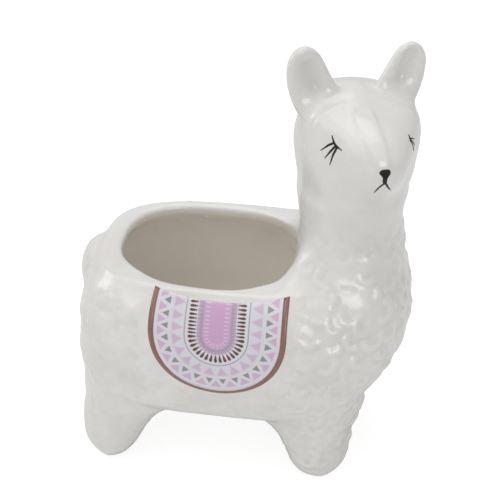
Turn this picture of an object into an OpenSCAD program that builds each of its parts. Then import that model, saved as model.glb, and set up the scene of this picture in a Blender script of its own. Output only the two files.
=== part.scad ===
/* [Body] */
// Reach of the rump and of the chest from the middle of the pot
body_reach = 70; // [68:1:74]
// Width across the flanks
body_w = 90; // [86:1:96]
// Height of the belly above the table
belly_h = 31; // [29:1:34]
// Height of the rim above the table
rim_h = 95; // [92:1:99]
// Thickness of the cast wall
wall = 5; // [4:0.25:5.5]

/* [Planting well] */
// Length of the mouth
well_l = 77; // [74:1:79]
// Width of the mouth
well_w = 58; // [54:1:60]
// Distance of the mouth's middle behind the middle of the pot
well_back = 15; // [14:0.5:16]
// Thickness of the floor
floor_t = 6; // [5:0.5:9]
// Rounding of the lip
lip_r = 2; // [1:0.25:2.25]
// Width of the air hole between the well and the hollow chest
vent_d = 5; // [3:0.5:6]

/* [Neck and head] */
// Distance of the neck's axis in front of the middle of the pot
neck_x = 45; // [44:0.5:46]
// Thickness of the neck at its narrowest
neck_d = 44.5; // [42:0.5:46]
// Height of the joint between the neck and the head
jaw_h = 130; // [127:1:133]
// Height of the crown above the table
crown_h = 172; // [170:1:176]
// Width of the head
head_w = 49; // [47:0.5:52]
// Turn of the head towards the right flank, in degrees
head_turn = 66; // [60:1:72]
// Lean of the head towards its left, in degrees
head_tilt = 6; // [0:1:8]
// How far the muzzle stands out of the face
muzzle_reach = 12; // [9:0.5:13]

/* [Ears and tail] */
// Length of an ear from its root
ear_l = 32; // [29:1:35]
// Width of an ear
ear_w = 16.5; // [15:0.5:18.5]
// Thickness of an ear
ear_t = 9; // [8:0.5:10]
// Length of the tail
tail_l = 28; // [24:1:32]
// Width of the tail
tail_w = 26; // [22:1:30]

/* [Legs] */
// Distance from the rear legs to the front legs
leg_base = 96; // [93:1:98]
// Distance of the legs' middle behind the middle of the pot
leg_back = 10; // [9:0.5:11]
// Distance from the left legs to the right legs
leg_track = 50; // [48:1:52]
// Width of a leg
leg_d = 26; // [24:1:28]

/* [Blanket and face] */
// Width of the blanket
blanket_w = 57; // [54:1:60]
// Length of the blanket from its top edge down
blanket_l = 41; // [38:0.5:43]
// Gap between the blanket and the lip
blanket_gap = 0.5; // [0.25:0.25:2]
// Width of the blanket's border
border_w = 1.8; // [1.4:0.1:3]
// Width of the blanket's middle
centre_w = 17.5; // [14:0.5:22]
// Thickness of a transfer or of a painted mark
skin_t = 0.4; // [0.3:0.05:0.6]
// Turn of each eye away from the middle of the face, in degrees
eye_turn = 38; // [34:1:42]
// Height of the eyes above the table
eye_h = 161; // [159:0.5:162]
// Length of the longest lash
lash_l = 9; // [7:0.5:10]
// Width of a brush stroke
stroke_w = 1; // [0.8:0.1:1.4]
// Height of the nose above the table
nose_h = 158; // [157:0.5:160]
// Width of the nose
nose_w = 5.5; // [5:0.25:7]

/* [Hidden] */

glaze = "#e9e6df";
border_brown = "#7d5a50";
field_white = "#d9d7e2";
centre_lilac = "#c6a5c4";
paint = "#242424";

// Points in a ring of the large forms and of the small ones
ring_n = 44;
small_n = 24;
// Facets of a drawn half circle
arc_n = 20;
// Length by which a cutter runs past what it cuts
overrun = 2;

// A table's row at a place u from 0 to 1 along it, on a smooth curve through its rows
function table_row(table, u) =
    let (
        last = len(table) - 1,
        k = min(last - 1, floor(u * last)),
        t = u * last - k,
        a = table[max(0, k - 1)],
        b = table[k],
        c = table[k + 1],
        d = table[min(last, k + 2)]
    )
    0.5 * (2 * b + (c - a) * t + (2 * a - 5 * b + 4 * c - d) * t * t + (3 * b - a - 3 * c + d) * t * t * t);

function signed_power(v, p) = sign(v) * pow(abs(v), p);

// Rises from 0 to 1 between two places, level at both ends
function ease(v, from, to) = let (t = min(1, max(0, (v - from) / (to - from)))) t * t * (3 - 2 * t);

// One level ring of a form: an egg that reaches front and rear by different amounts
function egg_ring(z, rear, front, half_w, square, n, x = 0) =
    [for (k = [0:n - 1])
        let (a = 360 * k / n, reach = (cos(a) >= 0 ? front : rear))
        [x + reach * signed_power(cos(a), 2 / square), half_w * signed_power(sin(a), 2 / square), z]];

// How far an egg's side stands from its middle line at a distance along it
function egg_half(along, reach, half_w, square) =
    half_w * pow(max(0, 1 - pow(abs(along) / reach, square)), 1 / square);

// A closed solid through a list of rings with the same number of points;
// the points from `turned` on, where it is given, are joined along the other diagonal
module loft(rings, turned = undef) {
    n = len(rings[0]);
    m = len(rings);
    points = [for (r = rings) for (p = r) p];
    sides = [for (i = [0:m - 2]) for (k = [0:n - 1])
        let (a = i * n + k, b = i * n + (k + 1) % n)
        for (f = (is_undef(turned) || k < turned
                      ? [[a, a + n, b + n], [a, b + n, b]]
                      : [[a, a + n, b], [b, a + n, b + n]]))
            f];
    bottom = [for (k = [0:n - 1]) k];
    top = [for (k = [0:n - 1]) m * n - 1 - k];
    polyhedron(points = points, faces = concat(sides, [bottom, top]));
}

// Rows of the barrel: height, rear reach, front reach, half width, squareness
barrel_shares = [
    [0.00, 0.82, 0.60, 0.72, 3.6],
    [0.03, 0.905, 0.68, 0.83, 3.6],
    [0.08, 0.955, 0.73, 0.89, 3.6],
    [0.17, 0.985, 0.80, 0.94, 3.6],
    [0.30, 1.00, 0.885, 0.97, 3.4],
    [0.47, 1.00, 0.97, 1.00, 3.2],
    [0.64, 0.98, 1.00, 0.995, 3.0],
    [0.79, 0.95, 1.00, 0.95, 3.0],
    [0.91, 0.915, 0.985, 0.87, 3.1],
    [1.00, 0.865, 0.955, 0.77, 3.1]
];
barrel_steps = 18;

// Height at which the rounding of the lip starts
function lip_h() = rim_h - lip_r;

function barrel_ring(u, swell = 0) =
    let (r = table_row(barrel_shares, u))
    egg_ring(belly_h + r[0] * (lip_h() - belly_h), r[1] * body_reach + swell, r[2] * body_reach + swell,
             r[3] * body_w / 2 + swell, r[4], ring_n);

function barrel_rings(from = 0, to = barrel_steps) = [for (i = [from:to]) barrel_ring(i / barrel_steps)];

// Rows of the well: depth, swell from the mouth to the wall's inside, front reach, taper, squareness
well_shares = [
    [0.00, 0.00, 1.00, 1.00, 2.7],
    [0.06, 0.07, 1.00, 1.00, 2.75],
    [0.15, 0.43, 1.01, 1.00, 2.9],
    [0.29, 0.80, 1.02, 1.00, 3.0],
    [0.45, 0.98, 1.03, 1.00, 3.0],
    [0.64, 0.98, 1.03, 0.99, 3.0],
    [0.80, 0.98, 1.00, 0.95, 3.0],
    [0.92, 0.98, 0.90, 0.83, 3.0],
    [0.98, 0.98, 0.74, 0.66, 3.0],
    [1.00, 0.98, 0.58, 0.52, 3.0]
];
well_steps = 12;
mouth_rear_share = 0.95;
mouth_rear = mouth_rear_share * well_l / 2;
inside_rear = body_reach - well_back - wall;
inside_half = body_w / 2 - wall;

function well_rings() =
    [for (i = [0:well_steps])
        let (
            r = table_row(well_shares, i / well_steps),
            rear = mouth_rear + r[1] * (inside_rear - mouth_rear),
            half_w = well_w / 2 + r[1] * (inside_half - well_w / 2)
        )
        egg_ring(lip_h() - r[0] * (lip_h() - belly_h - floor_t), r[3] * rear, r[2] * well_l / 2,
                 r[3] * half_w, r[4], ring_n, x = -well_back)];

// The lip is round all along the open rim and runs out where the neck stands on it
foot_reach_share = 1.5;
lip_run_share = 0.5;
function lip_left(x) =
    let (horn = neck_x - foot_reach_share * neck_d / 2)
    1 - ease(x, horn - lip_run_share * neck_d / 2, horn);

// Under the neck the shoulder keeps its slope
shoulder_share = 0.8;

// One ring of the lip, drawn in from the body's edge or drawn out from the mouth
function lip_ring(z, rear, front, half_w, square, inset, slope = 0, x = 0) =
    let (whole = egg_ring(z, rear, front, half_w, square, ring_n, x))
    [for (k = [0:ring_n - 1])
        let (
            left = lip_left(whole[k][0]),
            d = inset * left,
            near = egg_ring(z, rear - d, front - d, half_w - d - slope * (1 - left), square, ring_n, x)[k]
        )
        near];

lip_steps = 3;
quarter_turn = 90;
function lip_rings() =
    let (edge = barrel_shares[len(barrel_shares) - 1], mouth = well_shares[0])
    concat(
        [for (i = [1:lip_steps])
            let (t = quarter_turn * i / lip_steps)
            lip_ring(lip_h() + lip_r * sin(t), edge[1] * body_reach, edge[2] * body_reach,
                     edge[3] * body_w / 2, edge[4], lip_r * (1 - cos(t)), shoulder_share * lip_r * sin(t))],
        [for (i = [lip_steps:-1:1])
            let (t = quarter_turn * i / lip_steps)
            lip_ring(lip_h() + lip_r * sin(t), mouth_rear, mouth[2] * well_l / 2,
                     well_w / 2, mouth[4], -lip_r * (1 - cos(t)), x = -well_back)]
    );

// Rows of the hollow in the chest: height, rear reach, front reach, half width
chest_shares = [
    [0.155, 0.33, 0.07, 0.25],
    [0.20, 0.61, 0.22, 0.43],
    [0.30, 0.80, 0.46, 0.60],
    [0.47, 0.89, 0.73, 0.71],
    [0.66, 0.92, 0.89, 0.73],
    [0.86, 0.94, 0.93, 0.66],
    [1.00, 0.97, 0.87, 0.53]
];
chest_steps = 8;
chest_rear = neck_x + well_back - well_l / 2 - wall;
chest_front = body_reach - neck_x - wall;

function chest_ring(r) =
    egg_ring(belly_h + r[0] * (rim_h - belly_h), r[1] * chest_rear, r[2] * chest_front, r[3] * inside_half,
             2, small_n, x = neck_x);

function chest_rings() =
    concat(
        [for (i = [0:chest_steps]) chest_ring(table_row(chest_shares, i / chest_steps))],
        [[for (p = chest_ring(chest_shares[len(chest_shares) - 1])) p + [0, 0, overrun]]]
    );

vent_depth_share = 0.25;

module body_shell() {
    color(glaze)
        difference() {
            loft(concat(barrel_rings(), lip_rings(), well_rings()));
            loft(chest_rings());
            translate([neck_x - neck_d / 2 - wall, 0, rim_h - vent_depth_share * (rim_h - belly_h)])
                rotate([0, 90, 0])
                    cylinder(d = vent_d, h = neck_d / 2);
        }
}

// The foot of the neck covers the body's top in front of the mouth, out to a rounded outline
foot_square = 2.6;
search_steps = 14;

function on_foot(x, y) =
    let (
        edge = barrel_shares[len(barrel_shares) - 1],
        edge_half = edge[3] * body_w / 2 - shoulder_share * lip_r,
        horn = foot_reach_share * neck_d / 2
    )
    pow(abs(x) / (edge[2] * body_reach), edge[4]) + pow(abs(y) / edge_half, edge[4]) <= 1
    && pow(abs(x + well_back) / (well_l / 2), well_shares[0][4])
       + pow(abs(y) / (well_w / 2), well_shares[0][4]) >= 1
    && pow(max(0, neck_x - x) / horn, foot_square) + pow(abs(y) / (body_w / 2), foot_square) <= 1;

// How far the foot reaches from the neck's axis in one direction, found by halving
function foot_reach(a, low = 0, high = body_reach, steps = search_steps) =
    steps == 0 ? low
    : let (mid = (low + high) / 2)
      (on_foot(neck_x + mid * cos(a), mid * sin(a))
          ? foot_reach(a, mid, high, steps - 1)
          : foot_reach(a, low, mid, steps - 1));

function foot_ring() =
    [for (k = [0:ring_n - 1])
        let (a = 360 * k / ring_n, r = foot_reach(a))
        [neck_x + r * cos(a), r * sin(a), rim_h]];

// Turns a level ring about the neck's axis, leans it towards the head's left and moves it there
function head_ring(z, rear, front, half_w, square, bump, lean, sway = 0, swell = 0) =
    [for (k = [0:ring_n - 1])
        let (
            a = 360 * k / ring_n + head_turn,
            near = (a > 180 ? a - 360 : a) / muzzle_spread,
            long = (cos(a) >= 0 ? front : rear),
            r = pow(pow(abs(cos(a)) / long, square) + pow(abs(sin(a)) / half_w, square), -1 / square)
                + bump * exp(-near * near) + swell,
            px = r * cos(a),
            py = r * sin(a),
            left = sway + py * cos(lean)
        )
        [neck_x + px * cos(head_turn) + left * sin(head_turn),
         -px * sin(head_turn) + left * cos(head_turn),
         z - py * sin(lean)]];

// Rows of the neck: height, thickness, how far it has left the outline of its foot
neck_shares = [
    [0.00, 1.04, 0.00],
    [0.08, 1.03, 0.36],
    [0.22, 1.00, 0.68],
    [0.45, 0.965, 0.92],
    [0.70, 0.98, 1.00],
    [1.00, 1.03, 1.00]
];
neck_steps = 10;

function neck_rings() =
    let (foot = foot_ring())
    [for (i = [0:neck_steps])
        let (
            r = table_row(neck_shares, i / neck_steps),
            z = rim_h + r[0] * (jaw_h - rim_h),
            d = r[1] * neck_d / 2,
            column = head_ring(z, d, d, d, 2, 0, 0)
        )
        [for (k = [0:ring_n - 1])
            let (p = column[k] * r[2] + foot[k] * (1 - r[2]))
            [p[0], p[1], z]]];

// Rows of the hollow in the neck: height, thickness, how far it has left the outline of the chest's hollow
bore_shares = [
    [0.00, 1.00, 0.00],
    [0.30, 0.97, 0.60],
    [0.60, 0.94, 0.95],
    [1.00, 1.00, 1.00]
];
bore_steps = 5;
jaw_bore = neck_shares[len(neck_shares) - 1][1] * neck_d / 2 - wall;

function bore_rings() =
    let (
        chest = chest_ring(chest_shares[len(chest_shares) - 1]),
        rings = [for (i = [0:bore_steps])
            let (
                r = table_row(bore_shares, i / bore_steps),
                z = rim_h + r[0] * (jaw_h - rim_h),
                reach = r[1] * jaw_bore,
                column = egg_ring(z, reach, reach, reach, 2, small_n, x = neck_x)
            )
            [for (k = [0:small_n - 1])
                let (p = column[k] * r[2] + chest[k] * (1 - r[2]))
                [p[0], p[1], z]]]
    )
    concat(
        [[for (p = rings[0]) p - [0, 0, overrun]]],
        rings,
        [[for (p = rings[bore_steps]) p + [0, 0, overrun]]]
    );

module neck() {
    color(glaze)
        difference() {
            loft(neck_rings());
            loft(bore_rings());
        }
}

muzzle_spread = 27;

jaw_share = neck_shares[len(neck_shares) - 1][1] * neck_d / head_w;
// Rows of the head: height, rear, front, half width, muzzle, lean
head_shares = [
    [0.00, jaw_share, jaw_share, jaw_share, 0.00, 0.0],
    [0.13, 0.92, 0.92, 0.92, 0.12, 0.3],
    [0.27, 0.955, 0.945, 0.955, 0.40, 0.7],
    [0.41, 0.985, 0.96, 0.985, 0.76, 1.0],
    [0.55, 1.00, 0.97, 1.00, 0.98, 1.0],
    [0.67, 0.96, 0.97, 0.985, 1.00, 1.0],
    [0.79, 0.91, 0.94, 0.955, 0.80, 1.0],
    [0.89, 0.83, 0.85, 0.88, 0.56, 1.0],
    [0.965, 0.68, 0.66, 0.72, 0.28, 1.0],
    [1.00, 0.38, 0.34, 0.40, 0.06, 1.0]
];
head_steps = 18;
head_square = 2.2;
head_square_share = 0.3;
// The crown stands over to the side that the head leans to
sway_share = 0.3;
sway_from_share = 0.4;
sway_to_share = 0.8;

function head_rings(swell = 0, from = 0, to = head_steps) =
    [for (i = [from:to])
        let (
            r = table_row(head_shares, i / head_steps),
            half = head_w / 2,
            sway = sway_share * head_w * sin(head_tilt) * ease(r[0], sway_from_share, sway_to_share)
        )
        head_ring(jaw_h + r[0] * (crown_h - jaw_h), r[1] * half, r[2] * half, r[3] * half,
                  head_square - (head_square - 2) * (1 - ease(r[0], 0, head_square_share)),
                  r[4] * muzzle_reach, r[5] * head_tilt, sway, swell)];

// Rows of the hollow in the head: height, swell from the joint, how far it has closed
skull_shares = [
    [0.00, 0.00, 1.00],
    [0.30, 0.60, 1.00],
    [0.60, 1.00, 1.00],
    [0.80, 1.00, 0.92],
    [0.93, 0.80, 0.70],
    [1.00, 0.60, 0.30]
];
skull_steps = 7;
skull_top = crown_h - wall;
skull_half = head_w / 2 - wall;

function skull_rings() =
    let (
        rings = [for (i = [0:skull_steps])
            let (
                r = table_row(skull_shares, i / skull_steps),
                reach = r[2] * (jaw_bore + r[1] * (skull_half - jaw_bore))
            )
            egg_ring(jaw_h + r[0] * (skull_top - jaw_h), reach, reach, reach, 2, small_n, x = neck_x)]
    )
    concat([[for (p = rings[0]) p - [0, 0, overrun]]], rings);

module head() {
    color(glaze)
        difference() {
            loft(head_rings());
            loft(skull_rings());
        }
}

// Rows of an ear: height, half width, half thickness, hollow, spread towards the crown
ear_shares = [
    [0.00, 0.60, 1.30, 0.0, 1.20],
    [0.20, 0.84, 1.20, 0.18, 0.78],
    [0.45, 1.00, 1.02, 0.42, 0.22],
    [0.68, 0.96, 0.92, 0.44, 0.02],
    [0.84, 0.80, 0.78, 0.30, 0.0],
    [0.95, 0.50, 0.55, 0.06, 0.0],
    [1.00, 0.18, 0.20, 0.0, 0.0]
];
ear_steps = 10;
ear_lean = 12;
// Share of the head's lean that the ears take back
ear_upright_share = 0.75;
ear_root_share = 0.65;
ear_sunk_share = 0.32;
hollow_spread = 42;

function ear_rings(side) =
    [for (i = [0:ear_steps])
        let (r = table_row(ear_shares, i / ear_steps))
        [for (k = [0:small_n - 1])
            let (
                a = 360 * k / small_n,
                near = (a > 180 ? a - 360 : a) / hollow_spread,
                inward = max(0, -side * sin(a))
            )
            [r[2] * ear_t / 2 * cos(a) - r[3] * ear_t * exp(-near * near),
             ear_w / 2 * (r[1] * sin(a) - side * r[4] * inward),
             r[0] * ear_l]]];

module ear(side) {
    difference() {
        translate([neck_x, 0, crown_h])
            rotate([0, 0, -head_turn])
                rotate([-head_tilt, 0, 0])
                    translate([0, side * ear_root_share * head_w / 2, -ear_sunk_share * ear_l])
                        rotate([ear_upright_share * head_tilt - side * ear_lean, 0, 0])
                            loft(ear_rings(side));
        loft(head_rings(from = head_steps / 2));
    }
}

module left_ear() {
    color(glaze) ear(1);
}

module right_ear() {
    color(glaze) ear(-1);
}

// Rows of the tail: height, rear reach, front reach, half width
tail_shares = [
    [-0.46, 0.05, 0.30, 0.30],
    [-0.42, 0.18, 0.30, 0.58],
    [-0.30, 0.31, 0.30, 0.82],
    [-0.08, 0.39, 0.30, 1.00],
    [0.16, 0.38, 0.30, 0.98],
    [0.35, 0.31, 0.30, 0.84],
    [0.44, 0.22, 0.28, 0.66],
    [0.48, 0.10, 0.25, 0.42]
];
tail_steps = 12;
tail_root_share = 0.85;

module tail() {
    color(glaze)
        difference() {
            translate([-tail_root_share * body_reach, 0, lip_h() - tail_l / 2])
                loft([for (i = [0:tail_steps])
                    let (r = table_row(tail_shares, i / tail_steps))
                    egg_ring(r[0] * tail_l, r[1] * tail_l, r[2] * tail_l, r[3] * tail_w / 2,
                             2, small_n)]);
            loft(barrel_rings(from = barrel_steps / 2));
        }
}

// Rows of the legs' outside, which runs down from the flanks: height, rear, front, half width, squareness
skirt_shares = [
    [0.00, 0.91, 0.66, 0.80, 4.0],
    [0.03, 0.95, 0.69, 0.86, 4.0],
    [0.12, 0.975, 0.715, 0.89, 4.0],
    [0.32, 0.985, 0.73, 0.905, 4.0],
    [0.66, 0.988, 0.755, 0.92, 3.9],
    [1.00, 0.988, 0.785, 0.93, 3.8],
    [1.25, 0.98, 0.80, 0.93, 3.7],
    [1.50, 0.96, 0.80, 0.92, 3.4]
];
skirt_steps = 10;

function skirt_rings() =
    [for (i = [0:skirt_steps])
        let (r = table_row(skirt_shares, i / skirt_steps))
        egg_ring(r[0] * belly_h, r[1] * body_reach, r[2] * body_reach, r[3] * body_w / 2, r[4], ring_n)];

// Rows of a leg: height, outward reach, reach towards the arch, half width
leg_shares = [
    [0.00, 0.46, 0.56, 0.48],
    [0.03, 0.64, 0.76, 0.66],
    [0.11, 0.83, 0.96, 0.84],
    [0.27, 0.98, 1.12, 0.99],
    [0.47, 1.06, 1.30, 1.05],
    [0.68, 1.12, 1.60, 1.14],
    [0.85, 1.20, 2.02, 1.26],
    [1.00, 1.30, 2.55, 1.36],
    [1.20, 1.30, 2.75, 1.38],
    [1.45, 1.20, 2.50, 1.34]
];
leg_steps = 11;
leg_square = 2.3;
// The arch springs wider from the rear legs
rear_arch_share = 0.3;

function leg_rings(front) =
    [for (i = [0:leg_steps])
        let (
            r = table_row(leg_shares, i / leg_steps),
            inward = max(0, r[3] - 1) * leg_d / 2,
            spring = (front ? 0 : rear_arch_share * max(0, r[2] - 1))
        )
        [for (p = egg_ring(r[0] * belly_h, r[1] * leg_d / 2, (r[2] + spring) * leg_d / 2, r[3] * leg_d / 2,
                           leg_square, small_n))
            p - [0, inward, 0]]];

module leg(front, side) {
    difference() {
        intersection() {
            translate([(front ? 1 : -1) * leg_base / 2 - leg_back, side * leg_track / 2, 0])
                mirror([front ? 1 : 0, 0, 0])
                    mirror([0, side > 0 ? 0 : 1, 0])
                        loft(leg_rings(front));
            loft(skirt_rings());
        }
        loft(barrel_rings(to = barrel_steps / 2));
    }
}

module front_left_leg() {
    color(glaze) leg(true, 1);
}

module front_right_leg() {
    color(glaze) leg(true, -1);
}

module rear_left_leg() {
    color(glaze) leg(false, 1);
}

module rear_right_leg() {
    color(glaze) leg(false, -1);
}

// A patch of skin over part of a loft, whose back lies on the loft's own facets
module skin_patch(under, over, from, to) {
    n = len(under[0]);
    loft([for (i = [0:len(under) - 1])
        concat(
            [for (k = [from:to]) over[i][(k + n) % n]],
            [for (k = [to:-1:from]) under[i][(k + n) % n]]
        )],
        turned = to - from);
}

blanket_back_share = 0.061;
blanket_foot = lip_h() - blanket_gap - blanket_l;

// The outline of the blanket and of each band in it, seen from the side
module blanket_outline(width) {
    top = blanket_l - blanket_w / 2;
    foot = [for (i = [0:arc_n])
        let (a = 180 + 180 * i / arc_n)
        width / 2 * [cos(a), sin(a)]];
    translate([-blanket_back_share * body_reach, blanket_foot + blanket_w / 2])
        polygon(concat([[-width / 2, top]], foot, [[width / 2, top]]));
}

// The blanket lies on the rings from just below its foot, some facets to each side of the flank's middle
flank_reach = 3;
blanket_from = max([for (i = [0:barrel_steps]) if (barrel_ring(i / barrel_steps)[0][2] < blanket_foot) i]);

// What is drawn in outline, laid on one flank
module on_flank(side) {
    middle = ring_n / 4 * (side > 0 ? 1 : 3);
    intersection() {
        skin_patch(
            [for (i = [blanket_from:barrel_steps]) barrel_ring(i / barrel_steps)],
            [for (i = [blanket_from:barrel_steps]) barrel_ring(i / barrel_steps, skin_t)],
            middle - flank_reach, middle + flank_reach
        );
        mirror([0, side > 0 ? 1 : 0, 0])
            rotate([90, 0, 0])
                linear_extrude(height = body_w)
                    children();
    }
}

module blanket_border(side) {
    color(border_brown)
        on_flank(side)
            difference() {
                blanket_outline(blanket_w);
                blanket_outline(blanket_w - 2 * border_w);
            }
}

module blanket_field(side) {
    color(field_white)
        on_flank(side)
            difference() {
                blanket_outline(blanket_w - 2 * border_w);
                blanket_outline(centre_w);
            }
}

module blanket_centre(side) {
    color(centre_lilac)
        on_flank(side)
            blanket_outline(centre_w);
}

module blanket_border_left() {
    blanket_border(1);
}

module blanket_field_left() {
    blanket_field(1);
}

module blanket_centre_left() {
    blanket_centre(1);
}

module blanket_border_right() {
    blanket_border(-1);
}

module blanket_field_right() {
    blanket_field(-1);
}

module blanket_centre_right() {
    blanket_centre(-1);
}

// The marks lie on the rings of the face, some facets to each side of their middle
face_shares = [0.27, 0.84];
face_from = floor(face_shares[0] * head_steps);
face_to = ceil(face_shares[1] * head_steps);
mark_reach = 3;

// What is drawn in outline, laid on the head at a turn away from the middle of the face
module on_face(turn, height) {
    middle = round((turn - head_turn) * ring_n / 360);
    color(paint)
        intersection() {
            skin_patch(head_rings(from = face_from, to = face_to),
                       head_rings(swell = skin_t, from = face_from, to = face_to),
                       middle - mark_reach, middle + mark_reach);
            translate([neck_x, 0, height])
                rotate([0, 0, turn - head_turn])
                    rotate([90, 0, 90])
                        linear_extrude(height = head_w)
                            children();
        }
}

// A brush stroke from one point to another, narrower at its end
tip_share = 0.4;
module stroke(from, to, width = stroke_w) {
    along = (to - from) / norm(to - from);
    across = [-along[1], along[0]] * width / 2;
    polygon([from + across, from - across, to - across * tip_share, to + across * tip_share]);
}

// Ends of the lashes as shares of the length of the longest
lash_shares = [[-0.61, -0.22], [-0.40, -0.64], [-0.20, -0.97], [0.42, -0.22]];
lid_share = [-0.09, 0.46];

module lashes(side) {
    on_face(side * eye_turn, eye_h - side * head_w / 2 * sin(eye_turn) * sin(head_tilt))
        mirror([side > 0 ? 1 : 0, 0]) {
            stroke([0, 0], lash_l * lid_share);
            for (end = lash_shares)
                stroke([0, 0], lash_l * end);
        }
}

module lashes_left() {
    lashes(1);
}

module lashes_right() {
    lashes(-1);
}

// Half of the nose's outline from the top down: out from the middle, up
nose_shares = [[0.00, 0.00], [0.34, 0.03], [0.48, -0.04], [0.50, -0.20], [0.38, -0.36], [0.20, -0.50],
               [0.16, -0.80], [0.14, -1.10], [0.00, -1.16]];

module nose() {
    mirrored = [for (i = [len(nose_shares) - 2:-1:1]) [-nose_shares[i][0], nose_shares[i][1]]];
    on_face(0, nose_h)
        polygon(nose_w * concat(nose_shares, mirrored));
}

// Each side of the mouth from its middle outwards
mouth_shares = [[0.00, -1.05], [0.28, -1.42], [0.78, -1.72]];

module mouth() {
    on_face(0, nose_h)
        for (side = [-1, 1])
            for (i = [0:len(mouth_shares) - 2])
                stroke([side * mouth_shares[i][0], mouth_shares[i][1]] * nose_w,
                       [side * mouth_shares[i + 1][0], mouth_shares[i + 1][1]] * nose_w);
}

body_shell();
neck();
head();
left_ear();
right_ear();
tail();
front_left_leg();
front_right_leg();
rear_left_leg();
rear_right_leg();
blanket_border_left();
blanket_field_left();
blanket_centre_left();
blanket_border_right();
blanket_field_right();
blanket_centre_right();
lashes_left();
lashes_right();
nose();
mouth();
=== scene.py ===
"""Dresses a glazed ceramic plant pot in the shape of a standing llama.

The castings of the CAD frame become one glazed body with moulded wool, and the printed
blanket and the painted face lie on its surface. Sizes are in metres, in the CAD frame.
"""

import logging
import math
from collections.abc import Callable, Iterable, Sequence
from dataclasses import dataclass, field
from enum import Enum

import bpy
import numpy as np
from mathutils import Matrix, Vector, kdtree, noise
from mathutils.bvhtree import BVHTree


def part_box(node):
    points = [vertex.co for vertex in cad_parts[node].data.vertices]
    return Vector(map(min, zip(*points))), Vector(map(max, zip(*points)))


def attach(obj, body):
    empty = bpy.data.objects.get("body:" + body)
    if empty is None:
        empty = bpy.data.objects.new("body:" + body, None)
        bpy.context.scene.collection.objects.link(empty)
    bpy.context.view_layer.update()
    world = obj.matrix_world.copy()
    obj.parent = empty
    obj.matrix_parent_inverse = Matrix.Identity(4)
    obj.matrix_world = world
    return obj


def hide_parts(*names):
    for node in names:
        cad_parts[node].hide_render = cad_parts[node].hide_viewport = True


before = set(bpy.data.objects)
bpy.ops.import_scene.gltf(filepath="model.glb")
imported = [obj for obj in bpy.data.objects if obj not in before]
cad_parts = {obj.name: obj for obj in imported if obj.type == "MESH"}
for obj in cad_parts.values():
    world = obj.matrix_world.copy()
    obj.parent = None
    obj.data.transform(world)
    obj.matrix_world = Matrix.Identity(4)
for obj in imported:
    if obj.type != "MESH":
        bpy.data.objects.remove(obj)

log = logging.getLogger("plant_pot")

Colour = tuple[float, float, float]
Array = np.ndarray
Span = tuple[float, float]
Place = tuple[float, float, float]
MM = 0.001
TINY = 1e-9
MOUTH_X = -15 * MM


def linear(red: int, green: int, blue: int) -> Colour:
    """Returns a display colour of 0 to 255 a channel as the linear colour that shaders take."""
    shares = [channel / 255 for channel in (red, green, blue)]
    return tuple(s / 12.92 if s <= 0.04045 else ((s + 0.055) / 1.055) ** 2.4 for s in shares)


def ease(value: Array, start: float, end: float) -> Array:
    """Rises smoothly from 0 to 1 between two places, of which the end may lie below the start."""
    t = np.clip((value - start) / (end - start), 0.0, 1.0)
    return t * t * (3.0 - 2.0 * t)


def mm(start: float, end: float) -> Span:
    """Returns a span given in millimetres."""
    return start * MM, end * MM


def hump(value: Array, rise: Span, fall: Span) -> Array:
    """Rises smoothly from 0 to 1 over one span and falls back to 0 over a later one."""
    return ease(value, *rise) * (1.0 - ease(value, *fall))


def bell(far: Array, width: float) -> Array:
    """Height of a bell curve at each distance from its middle, where it is 1."""
    return np.exp(-(far / width) ** 2)


def over(base: float, span: Span) -> Span:
    """Moves a span by the height or radius that it is measured from."""
    return base + span[0], base + span[1]


def off_mouth(p: Array) -> Array:
    """Level way from the middle of the pot's mouth to each point."""
    return p[:, :2] - (MOUTH_X, 0.0)


def outward(p: Array) -> Array:
    """Level direction of length 1 from the middle of the mouth to each point."""
    way = off_mouth(p)
    return way / (np.linalg.norm(way, axis=1)[:, None] + TINY)


def facing(p: Array, n: Array) -> Array:
    """How far each point of the body faces away from the middle of the mouth, from -1 to 1."""
    return (outward(p) * n[:, :2]).sum(axis=1)


def in_oval(p: Array, halves: Span) -> Array:
    """Place of each point against an oval round the middle of the mouth: under 1 inside it."""
    return (np.abs(off_mouth(p) / halves) ** 3).sum(axis=1)


class Side(Enum):
    """A flank of the pot, and the way that it faces along Y."""

    RIGHT = -1
    LEFT = 1

    @property
    def word(self) -> str:
        """The side's name as the CAD nodes write it."""
        return self.name.lower()


def _sum(operation: str, swapped: bool = False) -> Callable[..., "Wire"]:
    """Makes a method of Wire that adds one Math node.

    Args:
        operation: The node's operation.
        swapped: True where the other value stands first.

    Returns:
        The method, which takes the other value where the operation has one.
    """

    def method(self: "Wire", other: "Wire | float" = 0.0) -> "Wire":
        """Adds the node and returns its result."""
        first, second = (other, self) if swapped else (self, other)
        return self.paint.wire("ShaderNodeMath", {"operation": operation}, {0: first, 1: second})

    return method


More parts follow.
